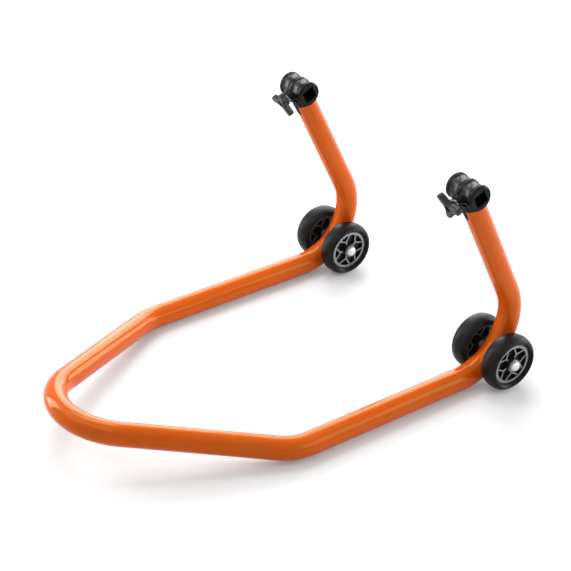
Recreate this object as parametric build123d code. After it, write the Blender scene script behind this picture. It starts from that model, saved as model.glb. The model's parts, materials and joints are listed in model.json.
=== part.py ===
from build123d import *
import math
import os

# A paddock stand: one bent tube with a pair of wheels at each wheel bend and a clamp head on each arm.
# Frame of the part: +X runs from the handle to the wheels, +Y to the user's left, +Z up.
# The origin is under the middle of the stand's box, on the ground.

# ---- Driving dimensions, in millimetres and degrees ----

# Bent tube
tube_diameter = 40.0
tube_wall = 2.5
bend_radius = 103.0             # centreline radius of all five bends
rail_spacing = 454.0            # between the centrelines of the side rails
rail_length = 500.0             # wheel bend corner to handle bend corner
handle_reach = 390.0            # handle bend corner to tip corner, along X
handle_rise = 76.0              # the tip corner above the rails
arm_angle = 64.5                # arm above the ground
arm_length = 403.0              # wheel bend corner to the axis of the clamp head

# Wheels
wheel_diameter = 101.0
tyre_width = 34.0
tyre_bore = 72.0
tyre_crown_radius = 27.0
tyre_crown_width = 23.0
tyre_shoulder_height = 5.5      # widest point of the tyre above its bore
tyre_lip_width = 25.5           # width of the tyre beside the rim
tyre_groove_height = 1.6
tyre_groove_depth = 1.4
wheel_offset = 38.5             # wheel centre to tube centreline
rim_width = 22.6
rim_thickness = 4.8
web_thickness = 4.0
boss_diameter = 24.0
boss_width = 24.6
spoke_count = 5
spoke_fork_radius = 18.5        # where a spoke forks into two
spoke_fork_angle = 25.5         # from the stem to where a branch meets the rim
stem_width = 3.0
branch_width = 2.4
spoke_width = 19.0
spoke_turn = {"outer_right": 60.0, "inner_right": 30.0, "outer_left": 40.0, "inner_left": 36.5}

# Bushes and axles
axle_diameter = 12.0
bush_wall = 2.0
bush_length = 11.0
bush_flange_diameter = 20.0
bush_flange_thickness = 1.2
bush_clearance = 0.05           # radial, between bush and axle
sleeve_wall = 4.0
sleeve_clearance = 0.1          # radial, between axle and sleeve
washer_diameter = 23.0
washer_thickness = 1.5
washer_clearance = 0.2          # radial, between axle and washer
wheel_side_gap = 0.2            # running gap between a bush flange and its washer
cap_diameter = 19.0
cap_skirt_height = 3.4
cap_height = 8.6
cap_bore_depth = 5.0

# Clamp heads
barrel_diameter = 44.0
barrel_length = 62.0
barrel_chamfer = 2.6
end_flange_width = 9.0
middle_flange_width = 9.0
band_step = 0.7
band_depth = 2.1
socket_width = 22.0
socket_corner_radius = 1.0
collar_diameter = 43.0
collar_chamfer = 0.8
collar_shoulder = 11.0          # head axis to the collar's upper edge
collar_end = 26.0               # head axis to the end of the tube
plug_length = 45.0
plug_bore = 24.0
plug_floor = 6.0
plug_chamfer = 2.0
plug_clearance = 0.2            # radial, between plug and tube
key_width = 9.0
key_length = 22.0
key_proud = 1.6
key_clearance = 0.2             # on each side of the key in its slot
screw_boss_diameter = 21.0
screw_boss_reach = 26.0         # head axis to the face of the screw boss

# Clamp screws, pads and knobs
screw_diameter = 10.0
screw_pitch = 1.5
thread_clearance = 0.08        # radial, between screw and insert
screw_hole_clearance = 0.4      # radial, between screw and head
insert_diameter = 14.0
insert_length = 8.0
pad_diameter = 14.0
pad_thickness = 4.0
pad_clearance = 0.3             # radial, between pad and its pocket
pad_retreat = 1.5               # how far the pad backs out of the socket's wall
pocket_spare = 0.3
screw_tip_diameter = 7.0
screw_tip_length = 1.5
tip_clearance = 0.08
knob_gap = 4.0                  # screw boss to knob at rest
knob_hub_diameter = 20.0
knob_hub_length = 14.5
knob_recess_diameter = 12.0
knob_recess_depth = 2.0
screw_grip = 10.0               # length of screw held by the knob
lobe_count = 3
lobe_reach = 27.5               # knob's axis to the tip of a lobe
lobe_root_width = 15.0
lobe_tip_width = 12.0
lobe_thickness = 10.5
lobe_edge_radius = 1.6
lobe_turn = {"right": 38.6, "left": 91.9}   # from the arm to the first lobe, towards +Y

# ---- Places worked out from the dimensions ----

tube_radius = tube_diameter / 2
half_spacing = rail_spacing / 2
wheel_radius = wheel_diameter / 2
sides = {"right": -1, "left": 1}
places = {"outer": 1, "inner": -1}


def corner_run(turn):
    """Distance from a bend's corner to where its arc starts, for a bend that turns by this angle."""
    return bend_radius * math.tan(math.radians(turn) / 2)


# The wheel bend: the axle crosses the tube's centreline where the wheels just reach the ground.
wheel_bend_turn = 180.0 - arm_angle
axle_lift = wheel_radius - tube_radius
axle_turn = math.acos(1 - axle_lift / bend_radius)
axle_from_corner = -corner_run(wheel_bend_turn) + bend_radius * math.sin(axle_turn)

# The stand's box along X, from the wheel bend's corner.
tip_half_angle = math.atan2(half_spacing, math.hypot(handle_reach, handle_rise))
tip_slope = math.atan2(handle_rise, handle_reach)
tip_setback = bend_radius * (1 / math.sin(tip_half_angle) - 1)
tip_end = -rail_length - handle_reach + tip_setback * math.cos(tip_slope) - tube_radius
wheel_bend_front = -corner_run(wheel_bend_turn) + bend_radius + tube_radius
front_end = max(wheel_bend_front, axle_from_corner + wheel_radius)

corner_x = -(tip_end + front_end) / 2
axle_x = corner_x + axle_from_corner
axle_z = wheel_radius
arm_x = -math.cos(math.radians(arm_angle))
arm_z = math.sin(math.radians(arm_angle))
head_x = corner_x + arm_length * arm_x
head_z = tube_radius + arm_length * arm_z

# Along an axle, from the tube's centreline outwards.
boss_face = boss_width / 2 + bush_flange_thickness
inner_washer = wheel_offset - boss_face - wheel_side_gap - washer_thickness
outer_washer = wheel_offset + boss_face + wheel_side_gap
cap_seat = outer_washer + washer_thickness

# Along a clamp screw, from the head's axis outwards.
pad_face = socket_width / 2
pocket_floor = pad_face + pad_thickness + pad_retreat + pocket_spare
insert_seat = screw_boss_reach - insert_length
screw_tip_end = pad_face + pad_thickness - screw_tip_length + tip_clearance
knob_seat = screw_boss_reach + knob_gap
knob_face = knob_seat + knob_hub_length
tube_end = -collar_end


def head_frame(side):
    """A clamp head's own frame: local X out along the clamp screw, local Z up the arm."""
    origin = (head_x, sides[side] * half_spacing, head_z)
    return Plane(origin=origin, x_dir=(-arm_z, 0, arm_x), z_dir=(arm_x, 0, arm_z)).location


def along_y(shape, x, y, z):
    """Stands a shape that was made round Z on the Y axis, at this place."""
    return Pos(x, y, z) * Rot(-90, 0, 0) * shape


def ring(outer, inner, height):
    """A plain tube round Z that starts at Z = 0."""
    upward = (Align.CENTER, Align.CENTER, Align.MIN)
    return Cylinder(outer, height, align=upward) - Cylinder(inner, height, align=upward)


def x_rod(radius, start, end):
    """A rod round local X between two places along it."""
    rod = Cylinder(radius, end - start, align=(Align.CENTER, Align.CENTER, Align.MIN))
    return Pos(start, 0, 0) * Rot(0, 90, 0) * rod


# ---- Bent tube ----

def tube_route():
    """The tube's centreline: arm, wheel bend, rail, handle bend, tip, and back along the other side."""
    reach = arm_length - collar_end
    top = (corner_x + reach * arm_x, half_spacing, tube_radius + reach * arm_z)
    wheel_corner = (corner_x, half_spacing, tube_radius)
    handle_corner = (corner_x - rail_length, half_spacing, tube_radius)
    tip_corner = (corner_x - rail_length - handle_reach, 0, tube_radius + handle_rise)
    left = [top, wheel_corner, handle_corner]
    right = [(x, -y, z) for x, y, z in reversed(left)]
    return FilletPolyline(*left, tip_corner, *right, radius=bend_radius)


def make_frame_tube():
    route = tube_route()
    start = Plane(origin=route @ 0, z_dir=route % 0)
    tube = sweep(start * Circle(tube_radius), path=route)
    tube -= sweep(start * Circle(tube_radius - tube_wall), path=route)
    sleeve_hole = Cylinder(axle_diameter / 2 + sleeve_clearance + sleeve_wall, 2 * tube_diameter)
    slot_width = key_width + 2 * key_clearance
    slot_length = key_length + key_clearance
    slot = Box(tube_diameter, slot_width, slot_length, align=(Align.MIN, Align.CENTER, Align.MAX))
    for side in sides:
        tube -= along_y(sleeve_hole, axle_x, sides[side] * half_spacing, axle_z)
        tube -= head_frame(side) * Pos(0, 0, tube_end) * slot
    return tube


# ---- Axles ----

def make_axle_sleeve(side):
    bore = axle_diameter / 2 + sleeve_clearance
    sleeve = Pos(0, 0, -inner_washer) * ring(bore + sleeve_wall, bore, 2 * inner_washer)
    return along_y(sleeve, axle_x, sides[side] * half_spacing, axle_z)


def make_axle(side):
    rod = Cylinder(axle_diameter / 2, 2 * (cap_seat + cap_bore_depth))
    rod = chamfer(rod.edges(), length=axle_diameter / 12)
    return along_y(rod, axle_x, sides[side] * half_spacing, axle_z)


def make_axle_washers():
    washer = ring(washer_diameter / 2, axle_diameter / 2 + washer_clearance, washer_thickness)
    starts = [-outer_washer - washer_thickness, -inner_washer - washer_thickness, inner_washer, outer_washer]
    return [
        along_y(washer, axle_x, side * half_spacing + start, axle_z)
        for side in sides.values()
        for start in starts
    ]


def make_axle_caps():
    """Push-on caps: a short skirt under a dome, with a blind bore for the end of the axle."""
    radius = cap_diameter / 2
    with BuildPart() as cap:
        with BuildSketch(Plane.XZ):
            with BuildLine():
                Polyline((0, cap_height), (0, 0), (radius, 0), (radius, cap_skirt_height))
                rise = (cap_height - cap_skirt_height) * math.sin(math.pi / 4)
                shoulder = (radius * math.cos(math.pi / 4), cap_skirt_height + rise)
                Spline((radius, cap_skirt_height), shoulder, (0, cap_height), tangents=((0, 1), (-1, 0)))
            make_face()
        revolve(axis=Axis.Z)
    bore = Cylinder(axle_diameter / 2, cap_bore_depth, align=(Align.CENTER, Align.CENTER, Align.MIN))
    cap_shape = cap.part - bore
    caps = []
    for side in sides.values():
        centre = side * half_spacing
        caps.append(along_y(cap_shape, axle_x, centre + cap_seat, axle_z))
        caps.append(Pos(axle_x, centre - cap_seat, axle_z) * Rot(90, 0, 0) * cap_shape)
    return caps


# ---- Wheels ----

def wheel_place(place, side):
    return sides[side] * (half_spacing + places[place] * wheel_offset)


def make_tyre(place, side):
    """A crowned tread, round shoulders and a groove beside the rim, revolved round the axle."""
    bore = tyre_bore / 2
    crown = tyre_crown_width / 2
    crown_drop = tyre_crown_radius - math.sqrt(tyre_crown_radius**2 - crown**2)
    crown_edge = (wheel_radius - crown_drop, crown)
    widest = (bore + tyre_shoulder_height, tyre_width / 2)
    lip = tyre_lip_width / 2
    groove_floor = lip - tyre_groove_depth
    with BuildPart() as tyre:
        with BuildSketch(Plane.XZ):
            with BuildLine():
                ThreePointArc((crown_edge[0], -crown), (wheel_radius, 0), crown_edge)
                for end in (1, -1):
                    edge_slope = (-crown, end * math.sqrt(tyre_crown_radius**2 - crown**2))
                    shoulder = ((crown_edge[0], end * crown), (widest[0], end * widest[1]))
                    TangentArc(*shoulder, tangent=edge_slope)
                    Polyline(
                        (widest[0], end * widest[1]),
                        (bore + tyre_groove_height, end * lip),
                        (bore + tyre_groove_height, end * groove_floor),
                        (bore, end * groove_floor),
                    )
                Line((bore, groove_floor), (bore, -groove_floor))
            make_face()
        revolve(axis=Axis.Z)
    return along_y(tyre.part, axle_x, wheel_place(place, side), axle_z)


def spoke_sketch():
    """Forked spokes: a stem from the boss and two branches that run out to the rim."""
    rim_bore = tyre_bore / 2 - rim_thickness
    reach = rim_bore + rim_thickness / 3
    stem_start = boss_diameter / 2 - bush_wall
    fork = Vector(spoke_fork_radius, 0)
    spokes = Sketch()
    for index in range(spoke_count):
        stem = Rectangle(spoke_fork_radius - stem_start, stem_width, align=(Align.MIN, Align.CENTER))
        spoke = Pos(stem_start, 0) * stem
        spoke += Pos(spoke_fork_radius, 0) * Circle(stem_width / 2)
        for end in (1, -1):
            angle = math.radians(end * spoke_fork_angle)
            foot = Vector(reach * math.cos(angle), reach * math.sin(angle))
            run = foot - fork
            middle = (foot + fork) * 0.5
            branch = Rot(0, 0, math.degrees(math.atan2(run.Y, run.X))) * Rectangle(run.length, branch_width)
            spoke += Pos(middle.X, middle.Y) * branch
        spokes += Rot(0, 0, index * 360 / spoke_count) * spoke
    return spokes


def make_wheel_core(place, side):
    """Rim, web and boss in one moulding, with forked spokes standing up from both faces of the web."""
    outer = tyre_bore / 2
    bore = axle_diameter / 2 + bush_clearance + bush_wall
    core = Pos(0, 0, -rim_width / 2) * ring(outer, outer - rim_thickness, rim_width)
    core += Pos(0, 0, -web_thickness / 2) * ring(outer - rim_thickness / 2, bore, web_thickness)
    core += extrude(Pos(0, 0, -spoke_width / 2) * spoke_sketch(), amount=spoke_width)
    core += Pos(0, 0, -boss_width / 2) * ring(boss_diameter / 2, bore, boss_width)
    core -= Cylinder(bore, 2 * boss_width)
    core = Rot(0, 0, -spoke_turn[f"{place}_{side}"]) * core
    return along_y(core, axle_x, wheel_place(place, side), axle_z)


def make_wheel_bushes(place, side):
    """Two flanged bushes, one pressed into each end of the wheel's boss."""
    bore = axle_diameter / 2 + bush_clearance
    bush = Pos(0, 0, -bush_length) * ring(bore + bush_wall, bore, bush_length)
    bush += ring(bush_flange_diameter / 2, bore, bush_flange_thickness)
    bush = Pos(0, 0, boss_width / 2) * bush
    centre = wheel_place(place, side)
    return [
        along_y(bush, axle_x, centre, axle_z),
        Pos(axle_x, centre, axle_z) * Rot(90, 0, 0) * bush,
    ]


# ---- Clamp heads ----

def barrel_shape():
    """A spool across the arm: three flanges with two shallow hollow bands between them, round local Y."""
    radius = barrel_diameter / 2
    half = barrel_length / 2
    band_ends = (middle_flange_width / 2, half - end_flange_width)
    edge = radius - band_step
    floor = radius - band_depth
    with BuildPart() as barrel:
        with BuildSketch(Plane.XY):
            with BuildLine():
                Line((0, -half), (0, half))
                for end in (1, -1):
                    inner, outer = (end * band_ends[0], end * band_ends[1])
                    Polyline((0, end * half), (radius - barrel_chamfer, end * half),
                             (radius, end * (half - barrel_chamfer)), (radius, outer), (edge, outer))
                    ThreePointArc((edge, outer), (floor, (outer + inner) / 2), (edge, inner))
                    Line((edge, inner), (radius, inner))
                Line((radius, -band_ends[0]), (radius, band_ends[0]))
            make_face()
        revolve(axis=Axis.Y)
    return barrel.part


def key_shape():
    """The key on the plug: it fills the slot in the tube and stands a little proud at its upper end."""
    inner = tube_radius - tube_wall - plug_clearance - 1
    top = tube_radius + key_proud
    outline = Polyline((inner, 0), (top, 0), (tube_radius, -key_length), (inner, -key_length), (inner, 0))
    profile = Plane.XZ * make_face(outline)
    return Pos(0, 0, tube_end) * extrude(profile, amount=key_width / 2, both=True)


def make_head(side):
    """Barrel with its square socket, collar on the tube's end, plug and key inside it, and screw boss."""
    downward = (Align.CENTER, Align.CENTER, Align.MAX)
    plug_radius = tube_radius - tube_wall - plug_clearance
    head = barrel_shape()
    collar = Cylinder(collar_diameter / 2, collar_end - collar_shoulder, align=downward)
    collar = chamfer(collar.edges().sort_by(Axis.Z)[-1], length=collar_chamfer)
    head += Pos(0, 0, -collar_shoulder) * collar
    plug = Cylinder(plug_radius, plug_length, align=downward)
    plug = chamfer(plug.edges().sort_by(Axis.Z)[0], length=plug_chamfer)
    head += Pos(0, 0, tube_end) * plug
    head += key_shape()
    head += x_rod(screw_boss_diameter / 2, 0, screw_boss_reach)
    hollow = Cylinder(plug_bore / 2, plug_length + plug_floor, align=downward)
    head -= Pos(0, 0, tube_end - plug_floor) * hollow
    socket = RectangleRounded(socket_width, socket_width, socket_corner_radius)
    head -= Rot(90, 0, 0) * extrude(socket, barrel_length, both=True)
    head -= x_rod(pad_diameter / 2 + pad_clearance, 0, pocket_floor)
    head -= x_rod(screw_diameter / 2 + screw_hole_clearance, 0, screw_boss_reach)
    head -= x_rod(insert_diameter / 2, insert_seat, screw_boss_reach)
    return head_frame(side) * head


def make_thread_insert(side):
    insert = x_rod(insert_diameter / 2, insert_seat, screw_boss_reach)
    insert -= x_rod(screw_diameter / 2 + thread_clearance, insert_seat, screw_boss_reach)
    return head_frame(side) * insert


def make_clamp_pad(side):
    """The pressure pad on the screw's tip: it doesn't turn, and bears on the bar in the socket."""
    pad = x_rod(pad_diameter / 2, pad_face, pad_face + pad_thickness)
    pad -= x_rod(screw_tip_diameter / 2 + tip_clearance, pad_face + pad_thickness - screw_tip_length,
                 pad_face + pad_thickness)
    return head_frame(side) * pad


def make_clamp_screw(side):
    shank_start = pad_face + pad_thickness + tip_clearance
    screw = x_rod(screw_diameter / 2, shank_start, knob_seat + screw_grip)
    screw += x_rod(screw_tip_diameter / 2, screw_tip_end, shank_start)
    return head_frame(side) * screw


def lobe_outline():
    """The knob's outline: lobes that taper from the hub to a round tip, evenly spread round it."""
    half_root = lobe_root_width / 2
    half_tip = lobe_tip_width / 2
    tip_centre = lobe_reach - half_tip
    outline = Sketch() + Circle(knob_hub_diameter / 2)
    for index in range(lobe_count):
        lobe = make_face(Polyline((0, -half_root), (tip_centre, -half_tip), (tip_centre, half_tip),
                                  (0, half_root), (0, -half_root)))
        lobe += Pos(tip_centre, 0) * Circle(half_tip)
        outline += Rot(0, 0, index * 360 / lobe_count) * lobe
    return outline


def make_knob(side):
    """Three-lobed knob on a round hub, with a shallow recess in its outer face."""
    lobes = extrude(lobe_outline(), amount=lobe_thickness)
    lobes = fillet(lobes.edges().filter_by(Plane.XY), radius=lobe_edge_radius)
    lobes = Rot(0, 90, 0) * Rot(0, 0, 180 + lobe_turn[side]) * lobes
    knob = x_rod(knob_hub_diameter / 2, knob_seat, knob_face)
    knob += Pos(knob_face - lobe_thickness, 0, 0) * lobes
    knob -= x_rod(knob_recess_diameter / 2, knob_face - knob_recess_depth, knob_face)
    knob -= x_rod(screw_diameter / 2, knob_seat, knob_seat + screw_grip)
    return head_frame(side) * knob


# ---- Files ----

def write_node(name, shapes):
    """Writes one node. A list of shapes is a group of separate solids."""
    solids = Compound(children=shapes) if isinstance(shapes, list) else shapes
    export_step(solids, f"parts/{name}.step")


os.makedirs("parts", exist_ok=True)
write_node("frame_tube", make_frame_tube())
write_node("axle_washers", make_axle_washers())
write_node("axle_caps", make_axle_caps())
for side in sides:
    write_node(f"axle_sleeve_{side}", make_axle_sleeve(side))
    write_node(f"axle_{side}", make_axle(side))
    write_node(f"clamp_head_{side}", make_head(side))
    write_node(f"thread_insert_{side}", make_thread_insert(side))
    write_node(f"clamp_pad_{side}", make_clamp_pad(side))
    write_node(f"clamp_screw_{side}", make_clamp_screw(side))
    write_node(f"clamp_knob_{side}", make_knob(side))
    for place in places:
        write_node(f"tyre_{place}_{side}", make_tyre(place, side))
        write_node(f"wheel_core_{place}_{side}", make_wheel_core(place, side))
        write_node(f"wheel_bushes_{place}_{side}", make_wheel_bushes(place, side))
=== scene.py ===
"""A paddock stand dressed for display: powder-coated tube, rubber tyres, moulded wheels and clamp heads."""
import json
import math

import bmesh
import bpy
import numpy as np
from bpy.props import FloatProperty, FloatVectorProperty, IntProperty, PointerProperty
from mathutils import Matrix, Vector


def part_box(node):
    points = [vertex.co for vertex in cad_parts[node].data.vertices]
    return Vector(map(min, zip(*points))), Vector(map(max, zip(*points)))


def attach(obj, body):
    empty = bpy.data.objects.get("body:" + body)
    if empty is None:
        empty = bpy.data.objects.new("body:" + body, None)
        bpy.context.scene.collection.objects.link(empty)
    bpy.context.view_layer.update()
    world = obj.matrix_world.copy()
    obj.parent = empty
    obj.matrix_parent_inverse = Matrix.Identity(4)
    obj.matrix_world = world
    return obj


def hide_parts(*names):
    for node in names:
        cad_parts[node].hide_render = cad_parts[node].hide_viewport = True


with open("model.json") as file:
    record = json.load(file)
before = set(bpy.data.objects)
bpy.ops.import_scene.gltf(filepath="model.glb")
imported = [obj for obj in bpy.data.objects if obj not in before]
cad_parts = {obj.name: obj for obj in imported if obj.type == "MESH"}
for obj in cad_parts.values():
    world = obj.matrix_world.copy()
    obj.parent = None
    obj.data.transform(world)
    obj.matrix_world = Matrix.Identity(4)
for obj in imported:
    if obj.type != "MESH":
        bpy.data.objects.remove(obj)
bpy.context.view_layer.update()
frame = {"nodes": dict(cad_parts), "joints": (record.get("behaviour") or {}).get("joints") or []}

bl_info = {
    "name": "Paddock stand",
    "version": (1, 0, 0),
    "blender": (4, 5, 0),
    "location": "View3D > Sidebar > Stand",
    "description": "Builds the visible pieces and finishes of a paddock stand round its frame",
    "category": "Object",
}

MM = 0.001
SHARP_ANGLE = math.radians(34)
FLAT_ANGLE = math.radians(0.4)
MERGE_DISTANCE = 0.002 * MM
SIDES = {"right": -1, "left": 1}
WHEELS = [f"{place}_{side}" for place in ("outer", "inner") for side in SIDES]
JOINTS = {joint["name"]: joint for joint in frame["joints"]}


# ---- Places read from the frame ----

def joint_place(name):
    return np.array(JOINTS[name]["pos_m"], float)


def node_size(node):
    low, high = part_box(node)
    return high - low


def node_radius(node):
    """Half of the height of a node that is round on the axle."""
    return node_size(node).z / 2


SCREW_OUT = -np.array(JOINTS["knob_turn_right"]["axis"], float)
SCREW_OUT /= np.linalg.norm(SCREW_OUT)
ARM_UP = np.array((SCREW_OUT[2], 0.0, -SCREW_OUT[0]))
HEAD = {side: joint_place(f"knob_turn_{side}") for side in SIDES}
WHEEL = {wheel: joint_place(f"wheel_{wheel}_spin") for wheel in WHEELS}
TUBE_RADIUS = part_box("frame_tube")[1].y - HEAD["left"][1]
HALF_SPACING = HEAD["left"][1]
WHEEL_OFFSET = WHEEL["outer_left"][1] - HALF_SPACING


# ---- Settings that a user would change ----

def length(name, description, default, scale=MM):
    """A size in metres, stated here in millimetres unless its scale says otherwise."""
    return FloatProperty(name=name, description=description, default=default * scale, min=0, unit="LENGTH")


def number(name, description, default):
    return FloatProperty(name=name, description=description, default=default)


def count(name, description, default, low, high):
    return IntProperty(name=name, description=description, default=default, min=low, max=high)


def spot(name, description, default):
    return FloatVectorProperty(name=name, description=description, size=3, subtype="TRANSLATION",
                               default=default)


def colour(name, description, default):
    return FloatVectorProperty(name=name, description=description, subtype="COLOR", size=3,
                               default=default, min=0, max=1)


def angle(name, description, default):
    return FloatProperty(name=name, description=description, default=math.radians(default),
                         subtype="ANGLE", unit="ROTATION")


class TubeSettings(bpy.types.PropertyGroup):
    bend_radius: length("Bend radius", "Centreline radius of the bends", 103)
    rail_length: length("Rail length", "From the wheel bend's corner to the handle bend's", 500)
    handle_reach: length("Handle reach", "From the handle bend's corner to the tip's, along X", 390)
    handle_rise: length("Handle rise", "Height of the tip's corner above the rails", 76)
    wall: length("Wall", "Wall of the tube", 2.5)
    head_gap: length("Head gap", "From a head's axis to the end of the tube", 26)
    coat: colour("Coat", "Colour of the powder coat", (0.80, 0.108, 0.004))
    cast: colour("Cast", "Greyer colour that the coat throws on what is near it", (0.28, 0.17, 0.14))
    cast_share: number("Cast share", "How far the thrown colour goes to the greyer one", 0.65)
    columns: count("Columns", "Faces round the tube", 96, 16, 256)


class WheelSettings(bpy.types.PropertyGroup):
    crown_width: length("Crown width", "Width of the tread's crowned middle", 23)
    crown_radius: length("Crown radius", "Radius of the crown across the tread", 27)
    shoulder_height: length("Shoulder height", "Widest point of the tyre above its bore", 5.5)
    lip_width: length("Lip width", "Width of the tyre beside the rim", 25.5)
    lip_height: length("Lip height", "Height of the tyre's lip above its bore", 1.6)
    groove_depth: length("Groove depth", "Depth of the step down to the rim", 1.4)
    edge: length("Edge", "Rounded edges of the moulded wheel", 0.35)
    rim_face: length("Rim face", "Wheel centre to the painted faces of the rim", 11.3)
    spoke_face: length("Spoke face", "Wheel centre to the painted faces of the spokes", 9.5)
    rim_bore: length("Rim bore", "Inner radius of the rim", 31.2)
    paint_start: length("Paint start", "Radius within which the boss is left unpainted", 12.5)
    ring_inner: length("Ring inner", "Inner radius of the smoother ring on the tyre's side", 37.5)
    ring_outer: length("Ring outer", "Outer radius of the smoother ring on the tyre's side", 42.5)
    rubber: colour("Rubber", "Colour of the tyres", (0.0048, 0.0046, 0.0045))
    core: colour("Core", "Colour of the moulded wheels", (0.0085, 0.009, 0.010))
    face: colour("Face", "Paint on the faces of rims and spokes", (0.29, 0.295, 0.305))
    bush: colour("Bush", "Colour of the bushes", (0.05, 0.05, 0.052))
    inner_paint: number("Inner paint", "Share of paint on the faces next to the rail", 0.3)
    columns: count("Columns", "Faces round a tyre", 160, 24, 512)


class AxleSettings(bpy.types.PropertyGroup):
    cap_skirt: length("Cap skirt", "Height of the toothed skirt of an axle cap", 2.4)
    cap_teeth: count("Cap teeth", "Teeth round a cap's skirt", 24, 6, 60)
    tooth_depth: length("Tooth depth", "Depth of the gaps between the teeth", 0.7)
    steel: colour("Steel", "Colour of axles and sleeves", (0.52, 0.51, 0.50))
    zinc: colour("Zinc", "Colour of the plated screws", (0.60, 0.60, 0.59))
    washer: colour("Washer", "Colour of the oiled washers", (0.20, 0.195, 0.19))
    polish: colour("Polish", "Colour of the polished caps", (0.70, 0.665, 0.63))


class HeadSettings(bpy.types.PropertyGroup):
    barrel_diameter: length("Barrel diameter", "Diameter over the barrel's flanges", 44)
    chamfer: length("Chamfer", "Chamfer at the barrel's ends", 2.6)
    end_flange: length("End flange", "Width of the flanges at the barrel's ends", 9)
    middle_flange: length("Middle flange", "Width of the flange in the barrel's middle", 9)
    band_step: length("Band step", "Step from a flange down to a band", 0.7)
    band_depth: length("Band depth", "Depth of the hollow bands between the flanges", 2.1)
    shoulder: length("Shoulder", "Width of a flange's rounded shoulder beside a band", 1.4)
    socket_width: length("Socket width", "Width of the square hole", 22)
    mouth_edge: length("Mouth edge", "Rounding of the square hole's mouth", 0.6)
    collar_diameter: length("Collar diameter", "Diameter of the collar on the tube's end", 43)
    collar_shoulder: length("Collar shoulder", "From the head's axis to the collar's upper edge", 11)
    boss_diameter: length("Boss diameter", "Diameter of the boss round the clamp screw", 21)
    boss_reach: length("Boss reach", "From the head's axis to the boss's face", 26)
    insert_diameter: length("Insert diameter", "Hole for the threaded insert", 14)
    pad_pocket: length("Pad pocket", "Diameter of the pocket that the clamp pad backs into", 14.6)
    pocket_floor: length("Pocket floor", "From the head's axis to the pocket's floor", 16.8)
    key_width: length("Key width", "Width of the key below the collar", 9)
    key_length: length("Key length", "Length of the key below the collar", 22)
    key_proud: length("Key proud", "How far the key stands out of the tube", 1.6)
    plastic: colour("Plastic", "Colour of the moulded heads and knobs", (0.0042, 0.0043, 0.0048))
    # The band colour is a painted sheen: a paler tone in the heads' bands that stands in for their soft grey
    # reflection.
    band: colour("Band", "Colour of the paler skin in the bands", (0.009, 0.0095, 0.011))
    brass: colour("Brass", "Colour of inserts and pads", (0.075, 0.055, 0.032))


class KnobSettings(bpy.types.PropertyGroup):
    seat: length("Seat", "From the head's axis to the knob", 30)
    hub_length: length("Hub length", "Length of the knob along the screw", 14.5)
    hub_diameter: length("Hub diameter", "Diameter of the hub", 20)
    lobes: count("Lobes", "Lobes round a knob", 3, 2, 8)
    reach: length("Reach", "From the knob's axis to the tip of a lobe", 27.5)
    root_width: length("Root width", "Width of a lobe at the knob's axis", 15)
    tip_width: length("Tip width", "Width of a lobe at its tip", 12)
    thickness: length("Thickness", "Thickness of the lobes", 10.5)
    edge: length("Edge", "Rounding of the lobes' edges", 1.8)
    blend: length("Blend", "Rounding where a lobe leaves the hub", 1.6)
    recess_diameter: length("Recess diameter", "Recess in the middle of the outer face", 12)
    recess_depth: length("Recess depth", "Depth of the recess", 2)
    turn_right: angle("Right turn", "From the arm to the right knob's first lobe, towards +Y", 38.6)
    turn_left: angle("Left turn", "From the arm to the left knob's first lobe, towards +Y", 91.9)
    screw_diameter: length("Screw diameter", "Outside diameter of the thread", 10)
    screw_pitch: length("Screw pitch", "Pitch of the thread", 1.5)


class StageSettings(bpy.types.PropertyGroup):
    floor_size: length("Floor size", "Side of the floor", 60, scale=1)
    near_floor: length("Near floor", "Radius with the slight glow", 1.1, scale=1)
    far_floor: length("Far floor", "Radius past which the glow is full", 3.0, scale=1)
    near_glow: number("Near glow", "Glow of the floor round the object", 0.125)
    camera_place: spot("Camera place", "Where the camera stands", (-1.27995, -1.88962, 1.61115))
    heading: angle("Heading", "Camera's turn from +Y towards +X", 35.396)
    dip: angle("Dip", "How far the camera looks down", 32.051)
    roll: angle("Roll", "Camera's turn about its line of sight", 0.488)
    lens: number("Lens", "Focal length in mm on a 36 mm sensor", 102.91)
    panel_distance: length("Panel distance", "From the panels to the object", 3, scale=1)
    light_target: spot("Light target", "Where the panels face", (0, 0, 0.1))
    light_level: number("Light level", "Brightness of all the panels", 0.94)
    room_light: number("Room light", "Light from the rest of the room", 0.12)
    bounce: number("Bounce", "Share of the floor's light that it throws back", 0.9)


# Soft panels of the studio: bearing and height in degrees, width and height in metres, and brightness.
PANELS = {
    "Back panel": (48, 28, 2.4, 2.3, 5.4),
    "High panel": (72, 66, 1.3, 1.0, 6.0),
    "Right panel": (-12, 14, 2.6, 1.2, 5.2),
    "Right end panel": (-60, 24, 2.0, 1.4, 2.4),
    "Left strip": (123, 16, 1.0, 2.2, 7.0),
    "Left panel": (140, 52, 3.0, 2.0, 1.5),
    "Camera side panel": (-150, 65, 1.4, 1.3, 1.9),
}
SETTINGS = {"stand_tube": TubeSettings, "stand_wheels": WheelSettings, "stand_axles": AxleSettings,
            "stand_heads": HeadSettings, "stand_knobs": KnobSettings, "stand_stage": StageSettings}


# ---- Surfaces worked out as arrays ----

def full_turn(columns):
    """Angles evenly round a full turn, without the last one, which would repeat the first."""
    return np.linspace(0, 2 * math.pi, columns, endpoint=False)


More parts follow.
